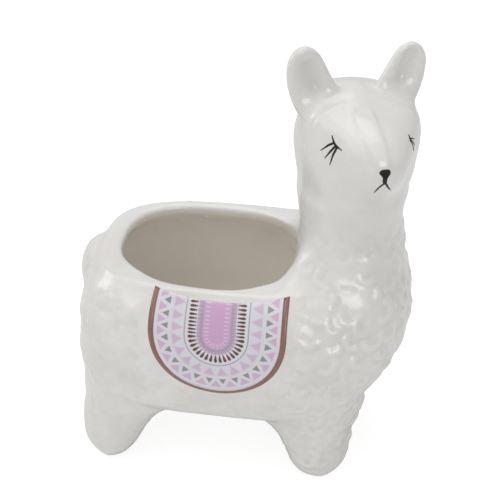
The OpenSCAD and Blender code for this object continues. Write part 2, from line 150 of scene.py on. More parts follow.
class Wire:
    """A node's socket that takes part in Python sums."""

    __add__ = __radd__ = _sum("ADD")
    __sub__ = _sum("SUBTRACT")
    __rsub__ = _sum("SUBTRACT", swapped=True)
    __mul__ = __rmul__ = _sum("MULTIPLY")
    __truediv__ = _sum("DIVIDE")
    __abs__ = _sum("ABSOLUTE")
    at_least = _sum("MAXIMUM")
    at_most = _sum("MINIMUM")
    root = _sum("SQRT")
    # The part after the whole number
    fraction = _sum("FRACT")
    # Minus one, zero or one
    sign = _sum("SIGN")
    # The angle whose tangent is this value over the other
    turn_from = _sum("ARCTAN2")

    def __init__(self, paint: "Paint", socket: bpy.types.NodeSocket) -> None:
        """Keeps the socket and the tree that it belongs to."""
        self.paint = paint
        self.socket = socket

    def clamped(self) -> "Wire":
        """Value held between 0 and 1."""
        return self.paint.wire("ShaderNodeClamp", {}, {0: self})

    def above(self, edge: "Wire | float", soft: float) -> "Wire":
        """Mask that is 1 over an edge, where it turns within a soft width."""
        return ((self - edge) / soft + 0.5).clamped()

    def below(self, edge: "Wire | float", soft: float) -> "Wire":
        """Mask that is 1 under an edge, where it turns within a soft width."""
        return 1.0 - self.above(edge, soft)

    def between(self, low: float, high: float, soft: float) -> "Wire":
        """Mask that is 1 between two edges, where it turns within a soft width."""
        return self.above(low, soft) * self.below(high, soft)


class Paint:
    """The nodes of one material or of the world."""

    def __init__(self, tree: bpy.types.NodeTree) -> None:
        """Empties the tree and starts on it."""
        self.tree = tree
        tree.nodes.clear()

    def node(self, kind: str, settings: dict | None = None, sockets: dict | None = None) -> bpy.types.Node:
        """Adds one node.

        Args:
            kind: The node's type.
            settings: Its settings, set first.
            sockets: Values or wires for its inputs, by name or number.

        Returns:
            The node.
        """
        made = self.tree.nodes.new(kind)
        for name, value in (settings or {}).items():
            setattr(made, name, value)
        for key, value in (sockets or {}).items():
            self.feed(made.inputs[key], value)
        return made

    def feed(self, socket: bpy.types.NodeSocket, value: object) -> None:
        """Links a wire into a socket, or writes a number or a colour on it."""
        if isinstance(value, Wire):
            self.tree.links.new(value.socket, socket)
        elif isinstance(value, bpy.types.NodeSocket):
            self.tree.links.new(value, socket)
        elif socket.type == "RGBA":
            socket.default_value = (*value, 1.0)
        else:
            socket.default_value = value

    def wire(self, kind: str, settings: dict | None = None, sockets: dict | None = None,
             output: int | str = 0) -> Wire:
        """Adds one node, as node() does, and takes one of its outputs."""
        return Wire(self, self.node(kind, settings, sockets).outputs[output])

    def blend(self, share: Wire | float, first: Wire | Colour, second: Wire | Colour) -> Wire:
        """Mixes two colours by the share of the second."""
        return self.wire("ShaderNodeMix", {"data_type": "RGBA"}, {0: share, 6: first, 7: second}, output=2)

    def place(self) -> Wire:
        """The point on the piece, in metres in the CAD frame."""
        return self.wire("ShaderNodeTexCoord", output="Object")

    def grain(self, size: float, detail: float = 2.0, roughness: float = 0.5) -> Wire:
        """Noise of about 0 to 1 over the piece, in patches of a size, with finer layers."""
        return self.wire("ShaderNodeTexNoise", {},
                         {"Vector": self.place(), "Scale": 1.0 / size, "Detail": detail,
                          "Roughness": roughness})

    def kept(self, name: str) -> Wire:
        """A number kept on the points of the mesh."""
        return self.wire("ShaderNodeAttribute", {"attribute_name": name}, output="Fac")

    def bumps(self, height: Wire, strength: float, distance: float) -> Wire:
        """Normal of the surface under a fine relief."""
        sockets = {"Strength": strength, "Distance": distance, "Height": height}
        return self.wire("ShaderNodeBump", {}, sockets, output="Normal")


def new_material(name: str) -> tuple[bpy.types.Material, Paint]:
    """Returns an empty material of that name, and the paint for its nodes."""
    material = bpy.data.materials.new(name)
    material.use_nodes = True
    return material, Paint(material.node_tree)


@dataclass(frozen=True)
class Gloss:
    """What a fired surface does with light, and the clear coat over it."""

    ior: float
    coat: float
    coat_roughness: float

    def lay(self, paint: Paint, colour: Wire, roughness: Wire, normal: Wire | None = None) -> None:
        """Adds the surface and joins it to the material's output.

        Args:
            paint: The material's nodes.
            colour: The surface's colour.
            roughness: Its roughness under the coat.
            normal: Its normal, where it has a relief.
        """
        sockets = {"Base Color": colour, "Roughness": roughness, "IOR": self.ior,
                   "Coat Weight": self.coat, "Coat Roughness": self.coat_roughness}
        if normal is not None:
            sockets["Normal"] = normal
        shader = paint.node("ShaderNodeBsdfPrincipled", {}, sockets)
        paint.node("ShaderNodeOutputMaterial", {}, {0: shader.outputs[0]})


@dataclass(frozen=True)
class GlazeFinish:
    """The thick gloss glaze over white earthenware."""

    body: Colour = linear(233, 231, 227)
    pale: Colour = linear(240, 239, 236)
    # Painted shade: the darker colour for the hollows of the wool and the ears
    crevice_shade: Colour = linear(217, 214, 207)
    # Painted bounce light: the well's inside is tinted lighter and warmer than the outside
    inside: Colour = linear(240, 235, 227)
    roughness: float = 0.2
    uneven: float = 0.10
    cloud_w: float = 22 * MM
    smear_w: float = 6 * MM
    ripple_w: float = 2.2 * MM
    wave_w: float = 9 * MM
    wave_share: float = 1.6
    peel: float = 0.2 * MM
    gloss: Gloss = Gloss(ior=1.5, coat=0.5, coat_roughness=0.06)

    def material(self) -> bpy.types.Material:
        """Returns the glaze, with painted shade in the hollows of the wool and the ears and painted bounce
        light inside the well.
        """
        material, paint = new_material("gloss_glaze")
        cloud = paint.grain(self.cloud_w, 3.0)
        outer = paint.blend(cloud.between(0.45, 0.75, 0.25), self.body, self.pale)
        # Painted shade in the hollows of the wool and the ears
        shaded_hollows = paint.blend(paint.kept("hollow"), outer, self.crevice_shade)
        # Painted bounce light: the well's inside takes the lighter, warmer tint
        colour = paint.blend(paint.kept("inside"), shaded_hollows, self.inside)
        ripple = paint.grain(self.ripple_w) + paint.grain(self.wave_w, 1.0) * self.wave_share
        roughness = paint.grain(self.smear_w) * self.uneven + self.roughness
        self.gloss.lay(paint, colour, roughness, paint.bumps(ripple, 0.5, self.peel))
        return material


@dataclass(frozen=True)
class Row:
    """A row of figures round the print's foot and up its sides, in millimetres from its centre.

    Its figures are counted over half a turn at one radius, and may be shifted by a share of a step.
    """

    count: float
    counted_at: float
    base: float
    tip: float
    shift: float = 0.0
    width: float = 1.0
    soft: float = 0.28


@dataclass(frozen=True)
class TransferFinish:
    """The printed blanket under its gloss glaze, drawn in millimetres from its own centre."""

    brown: Colour = linear(146, 101, 89)
    drop: Colour = linear(98, 60, 52)
    white: Colour = linear(230, 228, 236)
    lilac: Colour = linear(217, 173, 213)
    pale_lilac: Colour = linear(218, 187, 216)
    grey: Colour = linear(150, 150, 156)
    soft: float = 0.28
    wear_w: float = 1.6 * MM
    ripple_w: float = 6 * MM
    peel: float = 0.1 * MM
    border: float = 26.1
    border_bend: float = 27.0
    tongue: float = 5.7
    halo: Span = (5.8, 7.8)
    pale_ring: float = 8.1
    hairs: Span = (6.3, 8.0)
    line: Span = (12.9, 13.4)
    dashes: Row = Row(9.0, 4.2, 3.1, 4.9, width=0.33, soft=0.5)
    drops: Row = Row(17.0, 7.4, 8.2, 11.8, shift=0.5, width=0.66)
    bells: Row = Row(10.0, 14.0, 18.4, 13.9, width=0.84, soft=0.9)
    wedges: Row = Row(12.0, 16.9, 20.2, 23.1, width=0.56)
    fans: Row = Row(12.0, 16.9, 24.7, 21.2, shift=0.5, width=0.74, soft=0.4)
    gloss: Gloss = Gloss(ior=1.5, coat=0.6, coat_roughness=0.04)

    def rows(self, paint: Paint, across: Wire, up: Wire, radius: Wire, ground: Wire) -> Wire:
        """Draws the rows of the pattern over a ground.

        Args:
            paint: The material's nodes.
            across: Millimetres in front of the blanket's centre.
            up: Millimetres above it.
            radius: Millimetres from it, or from the upright line above it.
            ground: The colour under the rows.

        Returns:
            The printed colour.
        """
        turn = across.turn_from(up.at_most(0.0) * -1.0)
        rise = up.at_least(0.0) * across.sign()
        # A whole number that keeps the rows' measure above zero
        lift = 100.0

        def saw(row: Row) -> Wire:
            """Distance from the middle of each figure in a row, 0 there and 1 midway to the next."""
            steps = row.count / (math.pi * row.counted_at)
            along = (turn * row.counted_at + rise) * steps + (row.shift + lift)
            return abs(along.fraction() - 0.5) * 2.0

        def triangles(row: Row) -> Wire:
            """Mask of a row of triangles with their bases and tips at two radii."""
            share = (radius - row.tip) / (row.base - row.tip)
            sides = (share * row.width - saw(row)).above(0.0, row.soft * 0.45)
            return sides * radius.between(min(row.base, row.tip), max(row.base, row.tip), row.soft)

        fan = saw(self.drops)
        swell = (radius - self.drops.base) / (self.drops.tip - self.drops.base)
        fat = ((swell * 1.5).clamped() * ((1.0 - swell) * 5.0).clamped()).root() * self.drops.width
        halo_w = self.halo[1] - self.halo[0]
        halo = radius.above(self.tongue, self.soft * 2) * (1.0 - (radius - self.halo[0]) / halo_w).clamped()
        hairs = fan.below(0.4, 0.4) * radius.between(*self.hairs, self.soft)
        dashes = saw(self.dashes).below(self.dashes.width, 0.35)
        dashes = dashes * radius.between(self.dashes.base, self.dashes.tip, self.dashes.soft)
        drops = (fat - fan).above(0.0, 0.3) * radius.between(self.drops.base, self.drops.tip, self.soft)
        colour = ground
        for mask, ink in (
            (radius.below(self.pale_ring, self.soft), self.pale_lilac),
            (halo * 0.75, self.grey),
            (hairs * 0.5, self.grey),
            (radius.below(self.tongue, self.soft * 2), self.lilac),
            (dashes * 0.62, self.white),
            (drops, self.drop),
            (radius.between(*self.line, self.soft) * 0.75, self.grey),
            (triangles(self.bells) * 0.9, self.pale_lilac),
            (triangles(self.wedges), self.grey),
            (triangles(self.fans), self.pale_lilac),
        ):
            colour = paint.blend(mask, colour, ink)
        return colour

    def material(self, name: str, centre: Span, lean: Place, ground: Colour,
                 plain: bool) -> bpy.types.Material:
        """Makes one band's finish.

        Args:
            name: The material's name.
            centre: The blanket's centre along X and Z.
            lean: How far its rear top corner leans in, its height there and its reach, in millimetres.
            ground: The colour that the band is printed on.
            plain: True for the border, which has no rows.

        Returns:
            The finish.
        """
        material, paint = new_material(name)
        parts = paint.node("ShaderNodeSeparateXYZ", {}, {0: paint.place()})
        across = (Wire(paint, parts.outputs["X"]) - centre[0]) / MM
        up = (Wire(paint, parts.outputs["Z"]) - centre[1]) / MM
        share = up.at_least(0.0) / lean[1]
        across = across - (across * -1.0 / lean[2]).at_least(0.0) * share * share * lean[0]
        under = up.at_most(0.0)
        radius = (across * across + under * under).root()
        # The brown border is broad at the sides and narrow round the foot
        bend = under / self.border_bend
        edge = radius.above(bend * bend + self.border, self.soft)
        wear = paint.grain(self.wear_w, 3.0, 0.6)
        worn = wear.above(0.64, 0.2)
        if plain:
            inner = paint.blend(worn * 0.3, self.white, ground)
        else:
            base = paint.blend(worn * 0.35, ground, self.white)
            inner = self.rows(paint, across, up, radius, base)
        colour = paint.blend(edge, inner, self.brown)
        ripple = paint.bumps(paint.grain(self.ripple_w), 0.4, self.peel)
        self.gloss.lay(paint, colour, wear * 0.12 + 0.14, ripple)
        return material


@dataclass(frozen=True)
class BrushFinish:
    """Black brush strokes under the glaze."""

    full: Colour = linear(7, 7, 8)
    thin: Colour = linear(44, 42, 43)
    streak_w: float = 0.9 * MM
    gloss: Gloss = Gloss(ior=1.35, coat=0.1, coat_roughness=0.05)

    def material(self) -> bpy.types.Material:
        """Returns the paint, a little thinner in streaks."""
        material, paint = new_material("brushed_black")
        streaks = paint.grain(self.streak_w, 3.0, 0.6)
        colour = paint.blend(streaks.above(0.6, 0.25) * 0.6, self.full, self.thin)
        self.gloss.lay(paint, colour, streaks * 0.15 + 0.2)
        return material


def read_rows(items: bpy.types.bpy_prop_collection, key: str, width: int, kind: type = float) -> Array:
    """Reads a property of so many numbers of all points or edges of a mesh, one row each."""
    flat = np.empty(len(items) * width, kind)
    items.foreach_get(key, flat)
    return flat.reshape(-1, width)


def link(name: str, data: bpy.types.ID) -> bpy.types.Object:
    """Makes an object of a mesh, lamp or camera and links it into the scene."""
    made = bpy.data.objects.new(name, data)
    bpy.context.scene.collection.objects.link(made)
    return made


def new_mesh_piece(name: str, points: Array, faces: Sequence[Sequence[int]]) -> bpy.types.Object:
    """Makes a smooth-shaded object and links it into the scene.

    Args:
        name: The piece's name.
        points: Its points.
        faces: Its faces, as indices into the points.

    Returns:
        The object.
    """
    mesh = bpy.data.meshes.new(name)
    mesh.from_pydata([tuple(p) for p in points], [], [tuple(f) for f in faces])
    mesh.shade_smooth()
    mesh.update()
    return link(name, mesh)


def settle(piece: bpy.types.Object, nodes: Iterable[str], material: bpy.types.Material) -> None:
    """Gives a piece its finish and its place in the frame.

    Args:
        piece: The piece.
        nodes: The CAD nodes that it stands for.
        material: Its finish.
    """
    piece.data.materials.clear()
    piece.data.materials.append(material)
    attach(piece, "root")
    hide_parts(*nodes)
    log.info("%s: %d faces for %s", piece.name, len(piece.data.polygons), ", ".join(nodes))


class Surface:
    """The points of a mesh and what joins them, as arrays."""

    def __init__(self, mesh: bpy.types.Mesh) -> None:
        """Reads the mesh."""
        self.mesh = mesh
        self.points = read_rows(mesh.vertices, "co", 3)
        self.edges = read_rows(mesh.edges, "vertices", 2, np.int64)
        count = len(self.points)
        self.degree = (np.bincount(self.edges[:, 0], minlength=count)
                       + np.bincount(self.edges[:, 1], minlength=count)).astype(float)

    def around(self, values: Array) -> Array:
        """Mean of each point's neighbours, in the shape of the values, which have a row for each point."""
        first, second = self.edges[:, 0], self.edges[:, 1]
        count = len(self.points)
        columns = [np.bincount(first, column[second], count) + np.bincount(second, column[first], count)
                   for column in values.reshape(count, -1).T]
        return (np.stack(columns, axis=1) / self.degree[:, None]).reshape(values.shape)

    def blurred(self, values: Array, steps: int) -> Array:
        """Spreads values over the surface, half of the way to the neighbours' mean at each step."""
        for _ in range(steps):
            values = 0.5 * values + 0.5 * self.around(values)
        return values

    def normals(self) -> Array:
        """Outward direction at each point, after writing the points back."""
        self.write()
        return read_rows(self.mesh.vertices, "normal", 3)

    def write(self) -> None:
        """Writes the points back into the mesh."""
        self.mesh.vertices.foreach_set("co", self.points.ravel())
        self.mesh.update()


@dataclass
class Wool:
    """The moulded wool: crinkled curls on soft lumps, with smooth places left free."""

    rim_h: float
    curl_r: float = 2.9 * MM
    ridge: float = 1.5 * MM
    height: float = 0.85 * MM
    chest_pitch: float = 9.4 * MM
    flank_pitch: float = 8.5 * MM
    flank_share: float = 0.3
    lump: float = 1.0 * MM
    lump_w: float = 11 * MM
    fine_share: float = 0.4
    calm_chest: float = 0.3
    seed: int = 11
    # A curl's turn, its bow, the span of its arc and its height, at least and at most
    curl_least: tuple[float, ...] = (-1.4, 0.7, 1.5, 0.5)
    curl_most: tuple[float, ...] = (1.4, 1.6, 3.2, 1.2)
    curl_end: float = 0.3
    hang: Place = (0.0, 0.2, 1.0)
    spacing: float = 0.8
    least: float = 0.04
    # Where the wool begins and ends, and how much of it is left there
    chest_x: Span = mm(14, 42)
    well_halves: Span = mm(53, 42)
    well_floor: float = 36 * MM
    well_drop: float = 2.2 * MM
    well_front: float = 27 * MM
    well_facing: float = 0.25
    print_margin: Span = mm(0.5, 6)
    flank_y: Span = mm(26, 34)
    rim_z: Span = mm(-9, -4)
    sole_z: Span = mm(2, 10)
    overhang: Span = (0.25, 0.6)
    throat_z: Span = mm(100, 126)
    throat_share: float = 0.12
    curl_end_z: Span = mm(126, 132)
    neck_z: Span = mm(105, 140)
    calm_neck: float = 0.75
    leg_z: Span = mm(22, 44)
    calm_leg: float = 0.5
    face_z: Span = mm(168, 176)
    inside_z: Span = mm(84, 92)
    inside_share: float = 0.35

    def chest(self, p: Array) -> Array:
        """Share of the chest and neck in each point, against the flanks and rump."""
        return ease(p[:, 0], *self.chest_x)

    def inside(self, p: Array, n: Array) -> Array:
        """Share of the well's inside in each point: 1 on its wall or floor, and 0 elsewhere."""
        within = (p[:, 2] > self.well_floor) & (p[:, 2] < self.rim_h - self.well_drop)
        within &= (p[:, 0] < self.well_front) & (in_oval(p, self.well_halves) < 1.0)
        return (within & (facing(p, n) < self.well_facing)).astype(float)

    def smooth_print(self, p: Array, blanket: "Blanket") -> Array:
        """Share of the wool left round the blanket: none under it, and all of it some way off."""
        across, up = p[:, 0] - blanket.centre_x, p[:, 2] - blanket.centre_z
        radius = np.hypot(across, np.minimum(up, 0.0))
        off = ease(radius, *over(blanket.border_r, self.print_margin))
        return 1.0 - ease(np.abs(p[:, 1]), *self.flank_y) * (1.0 - off)

    def free(self, p: Array, n: Array, blanket: "Blanket") -> Array:
        """How much relief each point may carry.

        Args:
            p: The points.
            n: Their outward directions.
            blanket: The blanket, which lies on smooth ground.

        Returns:
            One share for each point.
        """
        chest = self.chest(p)
        rim = 1.0 - ease(p[:, 2], *over(self.rim_h, self.rim_z))
        under = 1.0 - ease(-n[:, 2], *self.overhang)
        sole = ease(p[:, 2], *self.sole_z)
        return (chest + (1.0 - chest) * rim) * under * sole * self.smooth_print(p, blanket)

    def tufts(self, surface: Surface, n: Array, strength: Array) -> Array:
        """Draws the curls on the surface.

        Args:
            surface: The casting.
            n: Outward directions of its points.
            strength: Share of a curl's height that each point takes.

        Returns:
            The height of the curls at each point.
        """
        p = surface.points
        chance = np.random.default_rng(self.seed)
        tree = kdtree.KDTree(len(p))
        for index, point in enumerate(p):
            tree.insert(point, index)
        tree.balance()
        pitch = self.flank_pitch + (self.chest_pitch - self.flank_pitch) * self.chest(p)
        taken = np.zeros(len(p), bool)
        height = np.zeros(len(p))
        reach = 2 * self.curl_r + 2 * self.ridge
        for seed in chance.permutation(np.nonzero(strength > self.least)[0]):
            if taken[seed]:
                continue
            spin, bow, span, tall = chance.uniform(self.curl_least, self.curl_most)
            near = np.array([found[1] for found in tree.find_range(p[seed], max(reach, pitch[seed]))])
            step = p[near] - p[seed]
            far = np.linalg.norm(step, axis=1)
            taken[near[far < pitch[seed] * self.spacing]] = True
            normal = n[seed]
            side = np.cross(normal, self.hang)
            side /= np.linalg.norm(side)
            fore = np.cross(normal, side)
            u, v = step @ fore, step @ -side
            u, v = u * math.cos(spin) + v * math.sin(spin), v * math.cos(spin) - u * math.sin(spin)
            radius = self.curl_r * bow
            around = np.arctan2(v, u)
            past = np.clip(np.abs(around) - span / 2, 0.0, None)
            closest = np.clip(around, -span / 2, span / 2)
            d = np.hypot(u - radius * np.cos(closest), v - radius * np.sin(closest))
            profile = bell(d, self.ridge) * (1.0 - self.curl_end * np.clip(past, 0.0, 1.0)) * tall
            height[near] = np.maximum(height[near], profile)
        return height * self.height * strength

    def lumps(self, p: Array) -> Array:
        """Height of the soft lumps at each point, from minus to plus their own height."""
        wide = np.array([noise.noise(Vector(q)) for q in p / self.lump_w])
        fine = np.array([noise.noise(Vector(q)) for q in p / (self.lump_w * 0.5) + 7.0])
        return (wide + self.fine_share * fine) * self.lump * (1.0 - self.calm_chest * self.chest(p))

    def relief(self, surface: Surface, n: Array, blanket: "Blanket", inside: Array) -> Array:
        """Height of the wool, which grows calm up the neck, down the legs and in the well.

        Args:
            surface: The casting.
            n: Outward directions of its points.
            blanket: The blanket, which lies on smooth ground.
            inside: Share of the well's inside in each point.

        Returns:
            The height of the curls and lumps at each point.
        """
        p, high = surface.points, surface.points[:, 2]
        free = self.free(p, n, blanket) * (1.0 - surface.blurred(inside, 4))
        low = 1.0 - ease(high, *self.throat_z)
        strength = free * (self.flank_share + (1.0 - self.flank_share) * self.chest(p))
        strength *= self.throat_share + (1.0 - self.throat_share) * low
        strength *= 1.0 - ease(high, *self.curl_end_z)
        curls = self.tufts(surface, n, strength)
        calm = 1.0 - self.calm_neck * ease(high, *self.neck_z)
        calm *= 1.0 - self.calm_leg + self.calm_leg * ease(high, *self.leg_z)
        lumps = self.lumps(p)
        outer = lumps * free * calm * (1.0 - ease(high, *self.face_z))
        return curls + (outer + lumps * self.inside_share * inside * (1.0 - ease(high, *self.inside_z)))


def laid_sheet(starts: Iterable[Vector], way: Vector, ground: BVHTree, proud: Array, sunk: float,
               shape: tuple[int, int], flip: bool) -> tuple[Array, Array]:
    """Casts a grid of points onto a surface and makes a thin closed sheet there.

    Args:
        starts: Where the rays start, row by row.
        way: Where they go.
        ground: The surface.
        proud: How far each point stands out of it.
        sunk: How far the underside lies in it.
        shape: How many rows there are, and how many points in each.
        flip: True where the rows turn the other way round, seen from outside.

    Returns:
        The sheet's points and its faces.
    """
    hits = [ground.ray_cast(start, way)[:2] for start in starts]
    outer = np.array([spot + normal * off for (spot, normal), off in zip(hits, proud)])
    inner = np.array([spot - normal * sunk for spot, normal in hits])
    rows, columns = shape
    back = rows * columns
    at = np.arange(back).reshape(rows, columns)
    quads = np.stack([at[:-1, :-1], at[:-1, 1:], at[1:, 1:], at[1:, :-1]], axis=-1).reshape(-1, 4)
    edge = np.concatenate([at[0, :], at[1:, -1], at[-1, -2::-1], at[-2:0:-1, 0]])
    follow = np.roll(edge, -1)
    walls = np.stack([edge, edge + back, follow + back, follow], axis=1)
    faces = np.concatenate([quads, quads[:, ::-1] + back, walls])
    return np.concatenate([outer, inner]), faces[:, ::-1] if flip else faces


@dataclass
class Blanket:
    """The printed saddle blanket, in three bands on each flank."""

    centre_x: float = -4.3 * MM
    centre_z: float = 80.0 * MM
    centre_r: float = 8.75 * MM
    field_r: float = 26.7 * MM
    border_r: float = 28.5 * MM
    top_z: float = 92.0 * MM
    rear_rise: float = 2.6 * MM
    front_rise: float = 3.4 * MM
    rear_lean: float = 1.8 * MM
    proud: float = 0.12 * MM
    sunk: float = 0.12 * MM
    step: float = 0.8 * MM
    tip_angle: float = 0.12
    tip_rows: int = 16
    ray_from: float = 200 * MM
    finish: TransferFinish = field(default_factory=TransferFinish)

    def _outline(self, radius: float) -> Array:
        """Points of a U from its rear top, round the bottom, to its front top."""
        rise = self.top_z - self.centre_z
        straight = np.linspace(rise, 0.0, max(3, round(rise / self.step)))[:-1]
        bend = np.linspace(-math.pi / 2, math.pi / 2, round(math.pi * self.border_r / self.step))
        rear = [(-radius, up) for up in straight]
        foot = [(radius * math.sin(a), -radius * math.cos(a)) for a in bend]
        front = [(radius, up) for up in straight[::-1]]
        return np.array(rear + foot + front)

    def _band(self, inner: float, outer: float) -> Array:
        """Grid of points of a band between two radii, as rows along it."""
        columns = np.linspace(inner, outer, max(2, round((outer - inner) / self.step) + 1))
        return np.stack([self._outline(radius) for radius in columns], axis=1)

    def _tongue(self, radius: float) -> Array:
        """Grid of points that fills the U, as level rows from its foot up."""
        rise = self.top_z - self.centre_z
        fall = -radius * np.cos(np.linspace(self.tip_angle, math.pi / 2, self.tip_rows))
        levels = np.concatenate([fall, np.linspace(0.0, rise, max(3, round(rise / self.step)))[1:]])
        half = np.sqrt(radius ** 2 - np.minimum(levels, 0.0) ** 2)
        shares = np.linspace(-1.0, 1.0, round(2 * radius / self.step) + 1)
        return np.stack([half[:, None] * shares[None, :], np.repeat(levels[:, None], len(shares), 1)], axis=2)

    def _under_rim(self, points: Array) -> Array:
        """Lets the print's top edge follow the rim, which sags between its ends."""
        across, up = points[:, 0], points[:, 1]
        share = np.clip(up / (self.top_z - self.centre_z), 0.0, None)
        rise = np.where(across < 0.0, self.rear_rise, self.front_rise) * (across / self.border_r) ** 2
        lean = self.rear_lean * share ** 2 * np.clip(-across / self.border_r, 0.0, None)
        return np.stack([across + lean, up + rise * share], axis=1)

    def build(self, ground: BVHTree) -> None:
        """Builds and dresses the bands of both flanks.

        Args:
            ground: The casting's surface, on which they lie as thin closed sheets.
        """
        centre = (self.centre_x, self.centre_z)
        lean = (self.rear_lean / MM, (self.top_z + self.rear_rise - self.centre_z) / MM, self.border_r / MM)
        bands = [
            ("border", self._band(self.field_r, self.border_r), "transfer_brown", self.finish.brown, True),
            ("field", self._band(self.centre_r, self.field_r), "transfer_white", self.finish.white, False),
            ("centre", self._tongue(self.centre_r), "transfer_lilac", self.finish.white, False),
        ]
        for word, grid, slot, colour, plain in bands:
            material = self.finish.material(f"printed_{word}", centre, lean, colour, plain)
            places = self._under_rim(grid.reshape(-1, 2))
            proud = np.full(len(places), self.proud)
            for side in Side:
                starts = [Vector((self.centre_x + across, side.value * self.ray_from, self.centre_z + up))
                          for across, up in places]
                away, flip = Vector((0.0, -float(side.value), 0.0)), side is Side.LEFT
                points, faces = laid_sheet(starts, away, ground, proud, self.sunk, grid.shape[:2], flip)
                piece = new_mesh_piece(f"blanket_{word}_print_{side.word}", points, faces.tolist())
                settle(piece, [f"blanket_{word}_{side.word}"], material)


@dataclass(frozen=True)
class Swell:
    """A soft rise about a point, or a hollow where its height is negative, in millimetres."""

    centre: Place
    height: float
    radius: float


@dataclass
class Casting:
    """The pot itself: all castings under one glaze."""

    nodes: tuple[str, ...] = ("body_shell", "neck", "head", "left_ear", "right_ear", "tail",
                              "front_left_leg", "front_right_leg", "rear_left_leg", "rear_right_leg")
    voxel: float = 0.8 * MM
    quick_scale: float = 1.8
    rounding: float = 2.4 * MM
    fillet: float = 3.2 * MM
    ear_fillet: float = 9.0 * MM
    foot_spread: float = 2.2 * MM
    dome_h: float = 3.8 * MM
    dome_r: float = 10 * MM
    dome_at: Span = mm(45, 0.5)
    dome_level: Span = (0.5, 0.85)
    swells: tuple[Swell, ...] = (
        Swell((66.3, -4.0, 119.5), -1.5, 12.0),
        Swell((69.8, -2.0, 80.0), 1.1, 16.0),
        Swell((50.7, -26.5, 19.0), -1.7, 12.0),
    )
    # What keeps its edges: heights above the lip, its front end, and heights above the table
    lip_top: Span = mm(-2.6, -1.2)
    lip_inside: Span = mm(-8, -4)
    lip_facing: Span = (-0.1, 0.3)
    lip_front_x: Span = mm(14, 26)
    ears_z: Span = mm(84, 88)
    soles_z: Span = mm(3, 9)
    # The crown and the ears' free parts, in heights above the jaw
    crown_z: Span = mm(24, 28)
    ear_free_z: Span = mm(40, 47)
    filled_by: Span = mm(0.02, 0.25)
    fresh_every: int = 20
    # The rim's new shape: heights about the lip, and directions and widths in degrees from its rear
    rim_rise: Span = mm(-12, -4)
    rim_fall: Span = mm(2, 5)
    rim_facing: Span = (-0.7, 0.2)
    rim_within: Span = (0.8, 1.1)
    rim_halves: Span = mm(46, 38)
    rim_near_y: Span = mm(-8, 12)
    rear_thick: float = 3.0 * MM
    rear_at: Span = (38.0, 21.0)
    side_thin: float = 1.2 * MM
    side_at: Span = (112.0, 28.0)
    foot_z: Span = mm(6, 26)
    foot_from: Span = (0.0, 8 * MM)
    foot_to: Span = mm(22, 30)
    # Painted shade in the hollows of the wool and the ears, and how far the last blur goes
    shade_steps: int = 12
    shade_depth: float = 0.4 * MM
    shade_most: float = 0.8
    ear_hollow_shade: float = 0.5
    softened: float = 0.8
    plug_at: Place = (31 * MM, 0.0, 79 * MM)
    plug_r: float = 3.4 * MM
    finish: GlazeFinish = field(default_factory=GlazeFinish)

    def _joined(self) -> bpy.types.Object:
        """Copies of the castings in one mesh, with the vent's far end stopped so that the hollows fill."""
        points: list[Array] = []
        faces: list[list[int]] = []
        count = 0
        for node in self.nodes:
            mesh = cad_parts[node].data
            points.append(read_rows(mesh.vertices, "co", 3))
            faces += [[v + count for v in face.vertices] for face in mesh.polygons]
            count += len(mesh.vertices)
        rings, spokes = 9, 16
        polar = [(math.pi * i / rings, math.tau * k / spokes)
                 for i in range(rings + 1) for k in range(spokes)]
        ball = np.array([(math.sin(a) * math.cos(b), math.sin(a) * math.sin(b), math.cos(a))
                         for a, b in polar])
        points.append(ball * self.plug_r + np.array(self.plug_at))
        for i in range(rings):
            for k in range(spokes):
                a, b = count + i * spokes + k, count + i * spokes + (k + 1) % spokes
                faces.append([a, a + spokes, b + spokes, b])
        return new_mesh_piece("castings_joined", np.concatenate(points), faces)

    def _remeshed(self, voxel: float) -> bpy.types.Mesh:
        """One closed skin round the joined castings."""
        joined = self._joined()
        remesh = joined.modifiers.new("skin", "REMESH")
        remesh.mode = "VOXEL"
        remesh.voxel_size = voxel
        bpy.context.view_layer.update()
        done = joined.evaluated_get(bpy.context.evaluated_depsgraph_get())
        mesh = bpy.data.meshes.new_from_object(done)
        bpy.data.objects.remove(joined)
        return mesh

    def _relaxed(self, surface: Surface, voxel: float) -> None:
        """Rounds the facets off the surface and gives back most of what that takes from thin parts."""
        start, high = surface.points, surface.points[:, 2]
        steps = round(2.0 * (self.rounding / voxel) ** 2)

        def rounded(count: int) -> Array:
            """Points after so many steps of blur, with half as many steps of the loss given back."""
            soft = surface.blurred(start, count)
            return soft + surface.blurred(start - soft, count // 2)

        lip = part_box("body_shell")[1].z
        inward = -facing(start, surface.normals())
        lip_inside = ease(high, *over(lip, self.lip_inside)) * ease(inward, *self.lip_facing)
        near_lip = np.maximum(ease(high, *over(lip, self.lip_top)), lip_inside)
        near_lip = near_lip * (1.0 - ease(start[:, 0], *self.lip_front_x))
        ears = ease(high, *over(lip, self.ears_z))
        soles = 1.0 - ease(high, *self.soles_z)
        keep = np.max([near_lip, ears, soles], axis=0)[:, None]
        surface.points = rounded(steps) * (1.0 - keep) + rounded(max(2, steps // 8)) * keep

    def _filleted(self, surface: Surface, voxel: float) -> None:
        """Fills the creases where the castings meet, as slip and glaze do, and leaves the rest."""
        high = surface.points[:, 2]
        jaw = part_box("head")[0].z
        ear_feet = hump(high, over(jaw, self.crown_z), over(jaw, self.ear_free_z))
        before = surface.points
        for radius, share in ((self.fillet, np.ones(len(high))), (self.ear_fillet, ear_feet)):
            for count in range(round(2.0 * (radius / voxel) ** 2)):
                # The filled places turn, so their directions are read anew from time to time
                if count % self.fresh_every == 0:
                    normals = surface.normals()
                step = surface.around(surface.points) - surface.points
                fill = np.clip((step * normals).sum(axis=1), 0.0, None) * share
                surface.points = surface.points + normals * (0.5 * fill)[:, None]
        filled = ease(np.linalg.norm(surface.points - before, axis=1), *self.filled_by)
        filled = surface.blurred(filled, 4)[:, None]
        surface.points = surface.points * (1.0 - filled) + surface.blurred(surface.points, 8) * filled

